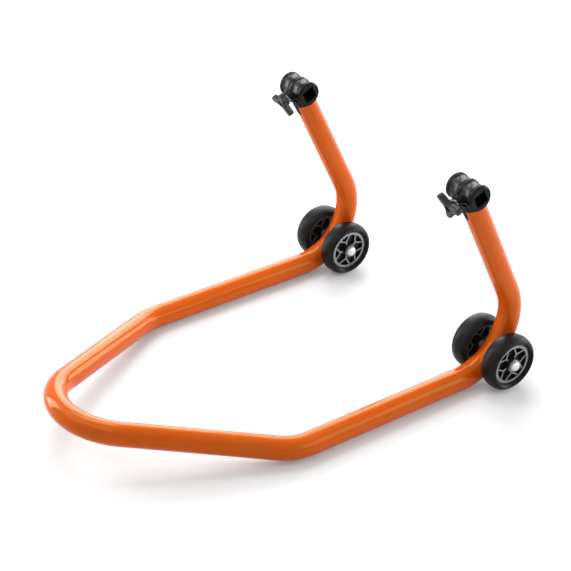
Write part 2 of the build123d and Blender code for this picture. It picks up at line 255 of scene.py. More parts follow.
def rounded(corners, steps=6):
    """A polyline with round corners. Each corner is (a, b, radius): the arc is tangent to both its runs."""
    places = np.array([corner[:2] for corner in corners], float)
    points = [places[:1]]
    for index in range(1, len(corners) - 1):
        corner, radius = places[index], corners[index][2]
        back, ahead = places[index - 1] - corner, places[index + 1] - corner
        back, ahead = back / np.linalg.norm(back), ahead / np.linalg.norm(ahead)
        half = math.acos(float(np.clip(back @ ahead, -1, 1))) / 2
        if radius <= 0 or half > math.pi / 2 - 1e-4:
            points.append(corner[None])
            continue
        bisector = (back + ahead) / np.linalg.norm(back + ahead)
        centre = corner + bisector * radius / math.sin(half)
        run = radius / math.tan(half)
        first, last = corner + back * run - centre, corner + ahead * run - centre
        sweep = math.pi - 2 * half
        share = np.linspace(0, 1, steps)[:, None]
        points.append(centre + (np.sin((1 - share) * sweep) * first + np.sin(share * sweep) * last)
                      / math.sin(sweep))
    points.append(places[-1:])
    return np.concatenate(points)


def tangent_arc(start, direction, end, steps):
    """The arc that leaves start along direction and reaches end: its centre is on the normal at start."""
    start, direction, end = (np.array(value, float) for value in (start, direction, end))
    direction = direction / np.linalg.norm(direction)
    normal = np.array((-direction[1], direction[0]))
    chord = end - start
    radius = chord @ chord / (2 * normal @ chord)
    turn = 2 * math.atan2(normal @ chord, direction @ chord)
    share = np.linspace(0, turn, steps)[:, None]
    return start + radius * (np.sin(share) * direction + (1 - np.cos(share)) * normal)


def turned_profile(profile, columns):
    """Pairs of radius and height turned round local Z: x = r cos a, y = r sin a, z = h."""
    turn = full_turn(columns)
    radius, height = profile[:, 0, None], profile[:, 1, None] + 0 * turn
    return np.stack([radius * np.cos(turn), radius * np.sin(turn), height], -1)


def add_object(name, data):
    """Puts a mesh, a lamp or a camera into the scene."""
    added = bpy.data.objects.new(name, data)
    bpy.context.scene.collection.objects.link(added)
    return added


def smooth(mesh):
    """Shades a mesh smooth, and keeps its edges sharp past the sharp angle."""
    mesh.polygons.foreach_set("use_smooth", np.ones(len(mesh.polygons), bool))
    mesh.set_sharp_from_angle(angle=SHARP_ANGLE)


def mesh_piece(name, vertices, loops, starts):
    """An object from arrays: the vertices' places, a vertex for each corner, and each face's first corner."""
    mesh = bpy.data.meshes.new(name)
    mesh.vertices.add(len(vertices))
    mesh.vertices.foreach_set("co", vertices.astype(np.float32).ravel())
    mesh.loops.add(len(loops))
    mesh.loops.foreach_set("vertex_index", loops.astype(np.int32))
    mesh.polygons.add(len(starts))
    mesh.polygons.foreach_set("loop_start", starts.astype(np.int32))
    mesh.update(calc_edges=True)
    mesh.validate()
    smooth(mesh)
    return add_object(name, mesh)


def grid_faces(grid, ring, offset=0):
    """Vertices, quads and end fans of a grid whose columns wrap round.

    The rows of a ring wrap too, and fans close both ends of any other grid. The faces point outwards:
    they are turned over where the volume that they close, the sum of a . (b x c) / 6, is negative.
    """
    rows, columns = grid.shape[:2]
    vertices = grid.reshape(-1, 3)
    row, column = np.meshgrid(np.arange(rows if ring else rows - 1), np.arange(columns), indexing="ij")
    above, beside = (row + 1) % rows, (column + 1) % columns
    quads = np.stack([row * columns + column, row * columns + beside,
                      above * columns + beside, above * columns + column], -1).reshape(-1, 4)
    fans = np.zeros((0, 3), int)
    if not ring:
        around, following, last = np.arange(columns), (np.arange(columns) + 1) % columns, (rows - 1) * columns
        base = len(vertices)
        fans = np.concatenate([
            np.stack([np.full(columns, base), following, around], -1),
            np.stack([np.full(columns, base + 1), last + around, last + following], -1)])
        vertices = np.concatenate([vertices, grid[0].mean(0)[None], grid[-1].mean(0)[None]])
    corners = vertices[np.concatenate([quads[:, :3], quads[:, [0, 2, 3]], fans])]
    if np.einsum("ij,ij->", corners[:, 0], np.cross(corners[:, 1], corners[:, 2])) < 0:
        quads, fans = quads[:, ::-1], fans[:, ::-1]
    return vertices, quads + offset, fans + offset


def grid_piece(name, grids, ring=False):
    """One piece from one or more closed grids."""
    vertices, quads, fans, count = [], [], [], 0
    for grid in grids:
        part = grid_faces(grid, ring, count)
        count += len(part[0])
        for store, value in zip((vertices, quads, fans), part):
            store.append(value)
    quads, fans = np.concatenate(quads), np.concatenate(fans)
    loops = np.concatenate([quads.ravel(), fans.ravel()])
    starts = np.concatenate([np.arange(len(quads)) * 4, quads.size + np.arange(len(fans)) * 3])
    return mesh_piece(name, np.concatenate(vertices), loops, starts)


def on_axle(grid, centre, outward=1):
    """Lays a grid that was made round local Z along the Y axis, at this place."""
    return np.stack([grid[..., 0], outward * grid[..., 2], grid[..., 1]], -1) + centre


def on_head(grid, side):
    """From a head's own axes to the frame's: local X runs out along the screw, Z up the arm, Y across."""
    x, y, z = grid[..., 0, None], grid[..., 1, None], grid[..., 2, None]
    return HEAD[side] + x * SCREW_OUT - y * np.array((0.0, 1.0, 0.0)) + z * ARM_UP


def round_x(profile, columns):
    """Pairs of radius and place turned round local X."""
    return turned_profile(profile, columns)[..., [2, 0, 1]]


def combine(piece, other, operation):
    """Joins another solid to a piece, or cuts it out, and takes the other away."""
    modifier = piece.modifiers.new("Combine", "BOOLEAN")
    modifier.operation, modifier.solver, modifier.object = operation, "EXACT", other
    apply_modifiers(piece)
    bpy.data.meshes.remove(other.data)


def apply_modifiers(piece):
    """Turns a piece's modifiers into its mesh."""
    bpy.context.view_layer.update()
    graph = bpy.context.evaluated_depsgraph_get()
    mesh = bpy.data.meshes.new_from_object(piece.evaluated_get(graph))
    piece.modifiers.clear()
    old, piece.data = piece.data, mesh
    bpy.data.meshes.remove(old)
    mesh.name = piece.name
    smooth(mesh)


def merged_copy(node, name):
    """A copy of a CAD node with its loose triangles joined and its flat faces made whole."""
    work = bmesh.new()
    work.from_mesh(frame["nodes"][node].data)
    bmesh.ops.remove_doubles(work, verts=work.verts, dist=MERGE_DISTANCE)
    bmesh.ops.dissolve_limit(work, angle_limit=FLAT_ANGLE, verts=work.verts, edges=work.edges)
    mesh = bpy.data.meshes.new(name)
    work.to_mesh(mesh)
    work.free()
    for layer in ("custom_normal", "sharp_edge"):
        if layer in mesh.attributes:
            mesh.attributes.remove(mesh.attributes[layer])
    return add_object(name, mesh)


# ---- Shader node groups ----

def add_node(tree, kind, values=None, **settings):
    """Adds a node: a value that is a socket is linked, and any other is set."""
    node = tree.nodes.new(kind)
    for key, value in settings.items():
        setattr(node, key, value)
    for key, value in (values or {}).items():
        if isinstance(value, bpy.types.NodeSocket):
            tree.links.new(value, node.inputs[key])
        else:
            node.inputs[key].default_value = value
    return node


def maths(tree, operation, first, second=0.0):
    return add_node(tree, "ShaderNodeMath", {0: first, 1: second}, operation=operation).outputs[0]


def times(tree, value, *factors):
    """The product of a value and one or more factors."""
    for factor in factors:
        value = maths(tree, "MULTIPLY", value, factor)
    return value


def minus(tree, first, second):
    return maths(tree, "SUBTRACT", first, second)


def remap(tree, value, low, high, to_low=0.0, to_high=1.0):
    """Takes a value from one range to another, held at both ends."""
    return add_node(tree, "ShaderNodeMapRange", {"Value": value, "From Min": low, "From Max": high,
                                                 "To Min": to_low, "To Max": to_high}).outputs[0]


def noise(tree, vector, scale, detail=2.0, roughness=0.5):
    return add_node(tree, "ShaderNodeTexNoise", {"Vector": vector, "Scale": scale, "Detail": detail,
                                                 "Roughness": roughness}).outputs["Fac"]


def new_group(name, inputs, outputs):
    """A node group with these named inputs and outputs, ready to be filled."""
    tree = bpy.data.node_groups.new(name, "ShaderNodeTree")
    for label, kind, default in inputs:
        socket = tree.interface.new_socket(label, in_out="INPUT", socket_type=f"NodeSocket{kind}")
        if default is not None:
            socket.default_value = default
    for label, kind in outputs:
        tree.interface.new_socket(label, in_out="OUTPUT", socket_type=f"NodeSocket{kind}")
    source, target = tree.nodes.new("NodeGroupInput"), tree.nodes.new("NodeGroupOutput")
    return tree, source.outputs, target.inputs


def variation_group():
    """Slow patches over a surface, between a low and a high value."""
    tree, given, result = new_group(
        "Slow variation",
        [("Vector", "Vector", None), ("Scale", "Float", 20.0), ("Low", "Float", 0.3), ("High", "Float", 0.4)],
        [("Value", "Float")])
    patches = noise(tree, given["Vector"], given["Scale"], 3.0, 0.55)
    tree.links.new(remap(tree, patches, 0.35, 0.65, given["Low"], given["High"]), result["Value"])
    return tree


def grain_group():
    """A moulded or sprayed skin: fine noise over a coarser one."""
    tree, given, result = new_group(
        "Skin grain", [("Vector", "Vector", None), ("Scale", "Float", 900.0), ("Coarse", "Float", 0.5)],
        [("Height", "Float")])
    fine = noise(tree, given["Vector"], given["Scale"], 2.0)
    slow = noise(tree, given["Vector"], times(tree, given["Scale"], 0.28), 2.0)
    mixed = add_node(tree, "ShaderNodeMix", {0: given["Coarse"], 2: fine, 3: slow}, data_type="FLOAT")
    tree.links.new(mixed.outputs[0], result["Height"])
    return tree


def scuff_group():
    """Sparse thin marks: noise stretched along one way and kept only at its peaks."""
    tree, given, result = new_group(
        "Light scuffs",
        [("Vector", "Vector", None), ("Scale", "Float", 60.0), ("Stretch", "Vector", (1.0, 8.0, 1.0)),
         ("Amount", "Float", 0.5)], [("Mask", "Float")])
    stretched = add_node(tree, "ShaderNodeVectorMath", {0: given["Vector"], 1: given["Stretch"]},
                         operation="MULTIPLY").outputs[0]
    marks = remap(tree, noise(tree, stretched, given["Scale"], 4.0, 0.6), 0.62, 0.75)
    patches = remap(tree, noise(tree, given["Vector"], times(tree, given["Scale"], 0.2), 1.0), 0.45, 0.6)
    tree.links.new(times(tree, marks, patches, given["Amount"]), result["Mask"])
    return tree


def rail_and_axis(tree, vector, centre):
    """Distance from the nearer rail's upright plane, and from the line along Y through a centre.

    The first is ||y| - spacing / 2|, and the second is sqrt((x - cx)^2 + (z - cz)^2).
    """
    x, y, z = add_node(tree, "ShaderNodeSeparateXYZ", {0: vector}).outputs
    from_rail = maths(tree, "ABSOLUTE", minus(tree, maths(tree, "ABSOLUTE", y), HALF_SPACING))
    across, upward = minus(tree, x, float(centre[0])), minus(tree, z, float(centre[2]))
    square = maths(tree, "ADD", times(tree, across, across), times(tree, upward, upward))
    return from_rail, maths(tree, "SQRT", square)


def band_group():
    """How far a point is into a head's hollow bands: 1 between the flanges and near the barrel's surface."""
    tree, given, result = new_group(
        "Head bands", [("Vector", "Vector", None), ("Inner", "Float", 0.0045), ("Outer", "Float", 0.022),
                       ("Reach", "Float", 0.0218)], [("Mask", "Float")])
    from_rail, radius = rail_and_axis(tree, given["Vector"], HEAD["left"])
    low = remap(tree, minus(tree, from_rail, given["Inner"]), -0.1 * MM, 0.3 * MM)
    high = remap(tree, minus(tree, given["Outer"], from_rail), -0.1 * MM, 0.3 * MM)
    near = remap(tree, minus(tree, radius, given["Reach"]), 0.1 * MM, -0.1 * MM)
    tree.links.new(times(tree, low, high, near), result["Mask"])
    return tree


def wheel_place_group():
    """Where a point is in its wheel.

    Depth is its distance from the wheel's middle plane, Radius that from the axle, and Away is 1 on the
    half that faces away from the rail.
    """
    tree, given, result = new_group("Place in wheel", [("Vector", "Vector", None)],
                                    [("Depth", "Float"), ("Radius", "Float"), ("Away", "Float")])
    from_rail, radius = rail_and_axis(tree, given["Vector"], WHEEL["outer_left"])
    beyond = minus(tree, from_rail, WHEEL_OFFSET)
    tree.links.new(maths(tree, "ABSOLUTE", beyond), result["Depth"])
    tree.links.new(radius, result["Radius"])
    tree.links.new(remap(tree, beyond, -0.1 * MM, 0.1 * MM), result["Away"])
    return tree


GROUP_MAKERS = {"variation": variation_group, "grain": grain_group, "scuffs": scuff_group,
                "wheel": wheel_place_group, "bands": band_group}
GROUPS = {}


def effect(tree, kind, place, output=0, **values):
    """Places a shared node group in a material, and makes it on first use."""
    if kind not in GROUPS:
        GROUPS[kind] = GROUP_MAKERS[kind]()
    values = {"Vector": place, **values}
    return add_node(tree, "ShaderNodeGroup", values, node_tree=GROUPS[kind]).outputs[output]


def vary(tree, place, scale, low=0.0, high=1.0):
    return effect(tree, "variation", place, Scale=scale, Low=low, High=high)


def grain(tree, place, scale, coarse):
    return effect(tree, "grain", place, Scale=scale, Coarse=coarse)


def scuffs(tree, place, scale, stretch, amount):
    return effect(tree, "scuffs", place, Scale=scale, Stretch=stretch, Amount=amount)


# ---- Materials ----

def new_material(name, **constants):
    """A material, its tree, its main shader and the object coordinates.

    Constants are set on the shader's own sockets.
    """
    material = bpy.data.materials.new(name)
    material.use_nodes = True
    tree = material.node_tree
    shader = tree.nodes["Principled BSDF"]
    for key, value in constants.items():
        shader.inputs[key.replace("_", " ")].default_value = value
    place = tree.nodes.new("ShaderNodeTexCoord").outputs["Object"]
    return material, tree, shader, place


def mix_colours(tree, share, first, second):
    mix = add_node(tree, "ShaderNodeMix", {0: share, 6: first, 7: second}, data_type="RGBA")
    return mix.outputs[2]


def feed(tree, shader, **values):
    """Links each value to the shader's socket of that name."""
    for key, value in values.items():
        tree.links.new(value, shader.inputs[key.replace("_", " ")])


def bump(tree, shader, height, distance, strength):
    node = add_node(tree, "ShaderNodeBump", {"Height": height, "Distance": distance, "Strength": strength})
    feed(tree, shader, Normal=node.outputs[0])


def shade(value, factor=1.0):
    """A colour made darker or lighter, with its alpha."""
    return tuple(min(1.0, channel * factor) for channel in value) + (1.0,)


def patchy(tree, patches, value, dark, light):
    """A colour that goes from darker to lighter with the patches."""
    return mix_colours(tree, patches, shade(value, dark), shade(value, light))


def powder_coat(settings):
    """Glossy sprayed coat: even colour, a slight orange peel and a clear gloss.

    The light that it throws on the floor and on its neighbours is greyer than the coat itself.
    """
    material, tree, shader, place = new_material(
        "Powder coat", IOR=1.38, Specular_Tint=(0.6, 1.0, 0.35, 1.0))
    tint = patchy(tree, vary(tree, place, 9.0), settings.coat, 0.97, 1.03)
    thrown = tree.nodes.new("ShaderNodeLightPath").outputs["Is Diffuse Ray"]
    base = mix_colours(tree, times(tree, thrown, settings.cast_share), tint, shade(settings.cast))
    feed(tree, shader, Base_Color=base, Roughness=vary(tree, place, 45.0, 0.07, 0.10))
    bump(tree, shader, grain(tree, place, 520.0, 0.65), 0.02 * MM, 0.35)
    return material


def rubber(settings):
    """Moulded black rubber: a bloom that varies, a fine skin, and a smoother ring on the sidewall."""
    material, tree, shader, place = new_material("Tyre rubber", IOR=1.25)
    tint = patchy(tree, vary(tree, place, 60.0), settings.rubber, 0.8, 1.5)
    worn = scuffs(tree, place, 90.0, (1.0, 6.0, 1.0), 0.35)
    radius = effect(tree, "wheel", place, "Radius")
    inner, outer, fade = settings.ring_inner, settings.ring_outer, 1.0 * MM
    ring = times(tree, remap(tree, radius, inner, inner + fade), remap(tree, radius, outer, outer - fade))
    rough = minus(tree, vary(tree, place, 70.0, 0.36, 0.46), times(tree, ring, 0.14))
    feed(tree, shader, Base_Color=mix_colours(tree, worn, tint, shade(settings.rubber, 2.5)), Roughness=rough)
    bump(tree, shader, grain(tree, place, 1400.0, 0.3), 0.04 * MM, 0.5)
    return material


def wheel_plastic(settings):
    """Black moulding whose rim and spoke faces carry a thin grey paint, full only away from the rail."""
    material, tree, shader, place = new_material("Wheel moulding", IOR=1.46)
    depth, radius, away = (effect(tree, "wheel", place, output) for output in ("Depth", "Radius", "Away"))

    def face_at(face):
        """1 at a face and outside it, and 0 from 0.45 mm below it."""
        return remap(tree, depth, face - 0.45 * MM, face - 0.30 * MM)

    inside_rim = remap(tree, radius, settings.rim_bore, settings.rim_bore - 0.1 * MM)
    faces = maths(tree, "MAXIMUM", face_at(settings.rim_face),
                  times(tree, face_at(settings.spoke_face), inside_rim))
    off_boss = remap(tree, radius, settings.paint_start, settings.paint_start + 0.3 * MM)
    painted = times(tree, faces, off_boss, remap(tree, away, 0.0, 1.0, settings.inner_paint, 1.0))
    speckle = grain(tree, place, 2600.0, 0.2)
    paint = patchy(tree, speckle, settings.face, 0.75, 1.3)
    feed(tree, shader, Base_Color=mix_colours(tree, painted, shade(settings.core), paint),
         Roughness=minus(tree, vary(tree, place, 80.0, 0.30, 0.40), times(tree, painted, 0.06)),
         Metallic=times(tree, painted, 0.35))
    bump(tree, shader, speckle, 0.02 * MM, 0.4)
    return material


def moulded_plastic(name, tint, roughness, gloss, band=None):
    """Moulded nylon: a fine spark-eroded skin, a few light scuffs, and a clear gloss.

    The gloss is full where the surface faces the eye and fades towards its outline, and a head has a
    glossier skin in its bands, with a paler colour there that is a painted sheen for their soft grey
    reflection.
    """
    material, tree, shader, place = new_material(
        name, Specular_IOR_Level=0.0, Coat_IOR=1.5, Coat_Roughness=0.22)
    facing = add_node(tree, "ShaderNodeLayerWeight", {"Blend": 0.5}).outputs["Facing"]
    clear = remap(tree, facing, 0.5, 1.0, gloss, 0.0)
    patches = vary(tree, place, 50.0)
    worn = scuffs(tree, place, 110.0, (3.0, 1.0, 3.0), 0.2)
    base = mix_colours(tree, worn, patchy(tree, patches, tint, 0.85, 1.2), shade(tint, 3.0))
    # Painted sheen: the bands take a paler colour for their soft grey reflection, as well as a glossier skin.
    if band:
        mask = effect(tree, "bands", place)
        base = mix_colours(tree, mask, base, patchy(tree, patches, band, 0.9, 1.1))
        clear = times(tree, clear, remap(tree, mask, 0.0, 1.0, 0.5, 1.0))
    feed(tree, shader, Base_Color=base, Roughness=vary(tree, place, 60.0, roughness, roughness + 0.04),
         Coat_Weight=clear)
    bump(tree, shader, grain(tree, place, 1100.0, 0.35), 0.01 * MM, 0.3)
    return material


def bare_metal(name, tint, roughness, scale, stretch=(1.0, 1.0, 1.0)):
    """Turned, plated or polished metal: tool marks along one way, and slight changes of gloss."""
    material, tree, shader, place = new_material(name, Metallic=1.0)
    marks = scuffs(tree, place, scale, stretch, 1.0)
    base = patchy(tree, vary(tree, place, 130.0), tint, 0.86, 1.06)
    rough = vary(tree, place, 90.0, roughness, roughness * 1.5)
    feed(tree, shader, Base_Color=mix_colours(tree, times(tree, marks, 0.25), base, shade(tint, 0.6)),
         Roughness=maths(tree, "ADD", rough, times(tree, marks, 0.125)))
    bump(tree, shader, grain(tree, place, 900.0, 0.5), 0.015 * MM, 0.3)
    return material


def give(piece, material):
    piece.data.materials.clear()
    piece.data.materials.append(material)


def finish_nodes(material, *nodes):
    """Gives CAD nodes a material."""
    for node in nodes:
        give(frame["nodes"][node], material)


def settle(piece, body, node, material):
    """Finishes a piece: its body, the CAD node it stands for and its material."""
    give(piece, material)
    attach(piece, body)
    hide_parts(node)


# ---- Bent tube ----

def turned(vector, axis, turn):
    """A vector turned about an axis by each angle: v cos t + (k x v) sin t + k (k . v) (1 - cos t)."""
    return (vector * np.cos(turn) + np.cross(axis, vector) * np.sin(turn)
            + axis * (axis @ vector) * (1 - np.cos(turn)))


def tube_corners(settings):
    """The corners of the tube's centreline, from the left arm round the handle to the right arm."""
    arm = (HEAD["left"][2] - TUBE_RADIUS) / ARM_UP[2]
    top = HEAD["left"] - ARM_UP * settings.head_gap
    wheel = HEAD["left"] - ARM_UP * arm
    handle = wheel - (settings.rail_length, 0, 0)
    tip = (handle[0] - settings.handle_reach, 0, TUBE_RADIUS + settings.handle_rise)
    left = np.array([top, wheel, handle])
    return np.concatenate([left, [tip], left[::-1] * (1, -1, 1)])


def bent_route(corners, bend, spacing):
    """Points and two cross directions along straight runs joined by arcs tangent to both.

    An arc's point is start + R (sin t · along + (1 - cos t) · inward), and the cross directions
    turn with it about the bend's axis, so the tube doesn't twist.
    """
    runs = np.diff(corners, axis=0)
    along = runs / np.linalg.norm(runs, axis=1)[:, None]
    sideways = np.array((0.0, 1.0, 0.0))
    upward = np.cross(along[0], sideways)
    points, first, second = [corners[:1]], [sideways[None]], [upward[None]]
    for index in range(1, len(corners) - 1):
        axis = np.cross(along[index - 1], along[index])
        axis /= np.linalg.norm(axis)
        sweep = math.acos(along[index - 1] @ along[index])
        start = corners[index] - along[index - 1] * bend * math.tan(sweep / 2)
        inward = np.cross(axis, along[index - 1])
        turn = np.linspace(0, sweep, math.ceil(sweep * bend / spacing) + 1)[:, None]
        points.append(start + bend * (np.sin(turn) * along[index - 1] + (1 - np.cos(turn)) * inward))
        first.append(turned(sideways, axis, turn))
        second.append(turned(upward, axis, turn))
        sideways, upward = first[-1][-1], second[-1][-1]
    points.append(corners[-1:])
    first.append(sideways[None])
    second.append(upward[None])
    return np.concatenate(points), np.concatenate(first), np.concatenate(second)


class STAND_OT_bent_tube(bpy.types.Operator):
    """Build the bent tube that the whole stand hangs on"""
    bl_idname = "stand.bent_tube"
    bl_label = "Bent Tube"

    def execute(self, context):
        settings = context.scene.stand_tube
        edge, spacing = 0.5 * MM, 3.5 * MM
        points, first, second = bent_route(tube_corners(settings), settings.bend_radius, spacing)

        def inside(end, ahead):
            """Two points just inside an end, which hold its broken edge."""
            return end + (ahead - end) / np.linalg.norm(ahead - end) * np.array(((edge,), (2 * edge,)))

        points = np.concatenate([points[:1], inside(points[0], points[1]), points[1:-1],
                                 inside(points[-1], points[-2])[::-1], points[-1:]])
        first, second = (np.concatenate([way[:1]] * 2 + [way] + [way[-1:]] * 2) for way in (first, second))
        outer = np.full(len(points), TUBE_RADIUS)
        outer[[0, -1]] -= edge
        inner = np.full(len(points), TUBE_RADIUS - settings.wall)
        turn = full_turn(settings.columns)[:, None]

        def rings(radius):
            circle = np.cos(turn) * first[:, None] + np.sin(turn) * second[:, None]
            return points[:, None] + radius[:, None, None] * circle

        grid = np.concatenate([rings(outer), rings(inner)[::-1]])
        tube = grid_piece("bent_tube", [grid], ring=True)
        settle(tube, "frame", "frame_tube", powder_coat(settings))
        return {"FINISHED"}


# ---- Wheels ----

def tyre_profile(settings, tyre, core):
    """Radius and width round a tyre's section: crown arc, shoulder arcs tangent to it, stepped sidewalls."""
    radius, half_width, bore = node_radius(tyre), node_size(tyre).y / 2, node_radius(core)
    crown = settings.crown_width / 2
    rise = math.sqrt(settings.crown_radius**2 - crown**2)
    across = np.linspace(0, crown, 13)
    height = radius - settings.crown_radius + np.sqrt(settings.crown_radius**2 - across**2)
    ridge, ridge_half, ridge_slope = 0.12 * MM, 0.45 * MM, 0.4 * MM
    height = height - ridge * np.clip((across - ridge_half) / ridge_slope, 0, 1)
    tread = np.stack([height, across], -1)
    widest = (bore + settings.shoulder_height, half_width)
    shoulder = tangent_arc(tread[-1], (-crown, rise), widest, 14)
    lip = (bore + settings.lip_height, settings.lip_width / 2)
    side = np.array(lip) - widest
    run = np.linalg.norm(side)
    side, out = side / run, np.array((-side[1], side[0])) / run
    out = out if out[1] > 0 else -out
    # A raised band and a groove on the sidewall: share of its length, and height above it in millimetres.
    steps = ((0.10, 0), (0.16, 0.35), (0.36, 0.35), (0.42, 0),
             (0.62, 0), (0.66, -0.45), (0.80, -0.45), (0.86, 0))
    wall = [(*(np.array(widest) + side * run * share + out * lift * MM), 0.2 * MM) for share, lift in steps]
    step_down = settings.lip_width / 2 - settings.groove_depth
    wall = rounded([(*widest, 0), *wall, (*lip, 0.4 * MM), (lip[0], step_down, 0), (bore, step_down, 0)], 4)
    half = np.concatenate([tread, shoulder[1:], wall[1:]])
    return np.concatenate([half[:0:-1] * (1, -1), half])


class STAND_OT_tyres(bpy.types.Operator):
    """Build the four crowned tyres"""
    bl_idname = "stand.tyres"
    bl_label = "Tyres"

    def execute(self, context):
        settings = context.scene.stand_wheels
        material = rubber(settings)
        for wheel in WHEELS:
            profile = tyre_profile(settings, f"tyre_{wheel}", f"wheel_core_{wheel}")
            grid = on_axle(turned_profile(profile, settings.columns), WHEEL[wheel])
            tyre = grid_piece(f"moulded_tyre_{wheel}", [grid], ring=True)
            settle(tyre, f"wheel_{wheel}", f"tyre_{wheel}", material)
        return {"FINISHED"}


class STAND_OT_wheel_cores(bpy.types.Operator):
    """Round the edges of the moulded wheels and paint their faces"""
    bl_idname = "stand.wheel_cores"
    bl_label = "Wheel Cores"

    def execute(self, context):
        settings = context.scene.stand_wheels
        material = wheel_plastic(settings)
        bush = moulded_plastic("Bush nylon", settings.bush, 0.4, 0.0)
        for wheel in WHEELS:
            core = merged_copy(f"wheel_core_{wheel}", f"moulded_wheel_{wheel}")
            bevel = core.modifiers.new("Edges", "BEVEL")
            bevel.width, bevel.segments = settings.edge, 2
            bevel.limit_method, bevel.angle_limit = "ANGLE", math.radians(40)
            apply_modifiers(core)
            settle(core, f"wheel_{wheel}", f"wheel_core_{wheel}", material)
            finish_nodes(bush, f"wheel_bushes_{wheel}")
        return {"FINISHED"}


# ---- Axles ----

def cap_grid(settings, radius, height, columns=96):
    """A domed cap: radius = R less the teeth on the skirt, then a groove, then a quarter of an ellipse."""
    skirt, dome_radius = settings.cap_skirt, radius - 0.5 * MM
    groove, dome_start = radius - 0.9 * MM, skirt + 0.9 * MM
    flank = rounded([(radius - 1.2 * MM, 0, 0), (radius, 0, 0.3 * MM), (radius, skirt, 0.3 * MM),
                     (groove, skirt, 0.1 * MM), (groove, dome_start, 0.1 * MM),
                     (dome_radius, dome_start, 0)], 4)
    sweep = np.linspace(0, math.pi / 2, 16)[1:-1]
    dome = np.stack([dome_radius * np.cos(sweep) ** 0.9,
                     dome_start + (height - dome_start) * np.sin(sweep)], -1)
    profile = np.concatenate([flank, dome])
    grid = turned_profile(profile, columns)
    gap = np.clip(-3 * np.cos(settings.cap_teeth * full_turn(columns)) - 1.2, 0, 1) * settings.tooth_depth
    on_skirt = ((profile[:, 1] <= skirt + 1e-9) & (profile[:, 0] > groove)).astype(float)
    shrink = 1 - on_skirt[:, None] * gap / radius
    return grid * np.stack([shrink, shrink, np.ones_like(shrink)], -1)


class STAND_OT_axles(bpy.types.Operator):
    """Build the polished caps and finish the axles, sleeves and washers"""
    bl_idname = "stand.axles"
    bl_label = "Axles"

    def execute(self, context):
        settings = context.scene.stand_axles
        low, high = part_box("axle_caps")
        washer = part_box("axle_washers")[1].y - HALF_SPACING
        cap = cap_grid(settings, (high.z - low.z) / 2, high.y - HALF_SPACING - washer)
        across, _, upward = WHEEL["outer_left"]
        grids = [on_axle(cap, np.array((across, sign * HALF_SPACING + outward * washer, upward)), outward)
                 for sign in SIDES.values() for outward in (1, -1)]
        settle(grid_piece("polished_caps", grids), "frame", "axle_caps",
               bare_metal("Polished cap", settings.polish, 0.30, 200.0, (1.0, 3.0, 1.0)))
        steel = bare_metal("Turned steel", settings.steel, 0.30, 700.0, (0.2, 6.0, 0.2))
        finish_nodes(bare_metal("Oiled washer", settings.washer, 0.28, 260.0), "axle_washers")
        finish_nodes(steel, *(f"{node}_{side}" for node in ("axle", "axle_sleeve") for side in SIDES))
        return {"FINISHED"}


# ---- Clamp heads ----

def square_radius(turn, half, corner):
    """Distance from the middle of a square with round corners to its edge, at each angle.

    It is the nearer of the flat side, half / max(|cos|, |sin|), and the corner's circle.
    """
    cosine, sine = np.abs(np.cos(turn)), np.abs(np.sin(turn))
    side = half / np.maximum(cosine, sine)
    centre = half - corner
    middle = centre * (cosine + sine)
    circle = middle + np.sqrt(np.maximum(middle**2 - 2 * centre**2 + corner**2, 0))
    in_corner = np.minimum(side * cosine, side * sine) > centre
    return np.where(in_corner, circle, side)


def barrel_grid(settings, length, columns=192):
    """A spool with a square hole: rings of radius (1 - w) r + w s(a), where s is the square's own radius.

    w is 0 on the outside and 1 in the hole, and the end faces run straight from one to the other.
    A band is hollow by 1 - |u|^3.5 of its depth, where u goes from -1 to 1 across it.
    Columns crowd towards the square's corners: a = u + 0.17 sin 4u.
    """
    radius, half = settings.barrel_diameter / 2, length / 2
    outer, inner = half - settings.end_flange, settings.middle_flange / 2
    floor = radius - settings.band_step
    along = np.linspace(inner, outer, 15)
    hollow = 1 - np.abs((2 * along - outer - inner) / (outer - inner)) ** 3.5
    band = np.stack([floor - (settings.band_depth - settings.band_step) * hollow, along], -1)
    chamfer, shoulder = settings.chamfer, settings.shoulder
    middle = rounded([(radius, 0, 0), (radius, inner - shoulder, 3.0 * MM), (floor, inner, 0)], 6)
    flange = rounded([(floor, outer, 0), (radius, outer + shoulder, 3.0 * MM),
                      (radius, half - chamfer, 2.5 * MM), (radius - chamfer, half, 1.2 * MM),
                      (radius - chamfer - 1.5 * MM, half, 0)], 6)
    outside = np.concatenate([middle, band[1:-1], flange])
    mouth = settings.mouth_edge
    lip = np.array([(mouth, half), (mouth * 0.35, half - mouth * 0.12), (0.1 * mouth, half - 0.4 * mouth),
                    (0.0, half - mouth), (0.0, half - 4 * mouth), (0.0, 0.0)])
    rows = np.concatenate([np.column_stack([outside, 0 * outside[:, 0], 0 * outside[:, 0]]),
                           np.column_stack([0 * lip[:, 0], lip[:, 1], 0 * lip[:, 0] + 1, lip[:, 0]])])
    loop = np.concatenate([rows, rows[-2:0:-1] * (1, -1, 1, 1)])
    share = full_turn(columns)
    turn = share + 0.17 * np.sin(4 * share)
    ring_radius, place, blend, spread = (loop[:, index, None] for index in range(4))
    square = square_radius(turn[None], settings.socket_width / 2 + spread, 1.0 * MM + spread)
    distance = (1 - blend) * ring_radius + blend * square
    return np.stack([distance * np.cos(turn), place + 0 * turn, distance * np.sin(turn)], -1)


def collar_grid(settings, tube_end):
    """The collar round local Z, with a round shoulder; its middle is sunk inside the barrel."""
    radius, shoulder, sunk = settings.collar_diameter / 2, -settings.collar_shoulder, 4 * MM
    profile = rounded([(sunk, shoulder - sunk, 0), (radius - 6 * MM, shoulder - sunk, 0),
                       (radius - 3 * MM, shoulder, 0), (radius, shoulder, 0.9 * MM),
                       (radius, -tube_end, 0.5 * MM), (sunk, -tube_end, 0)], 6)
    return turned_profile(profile, 160)


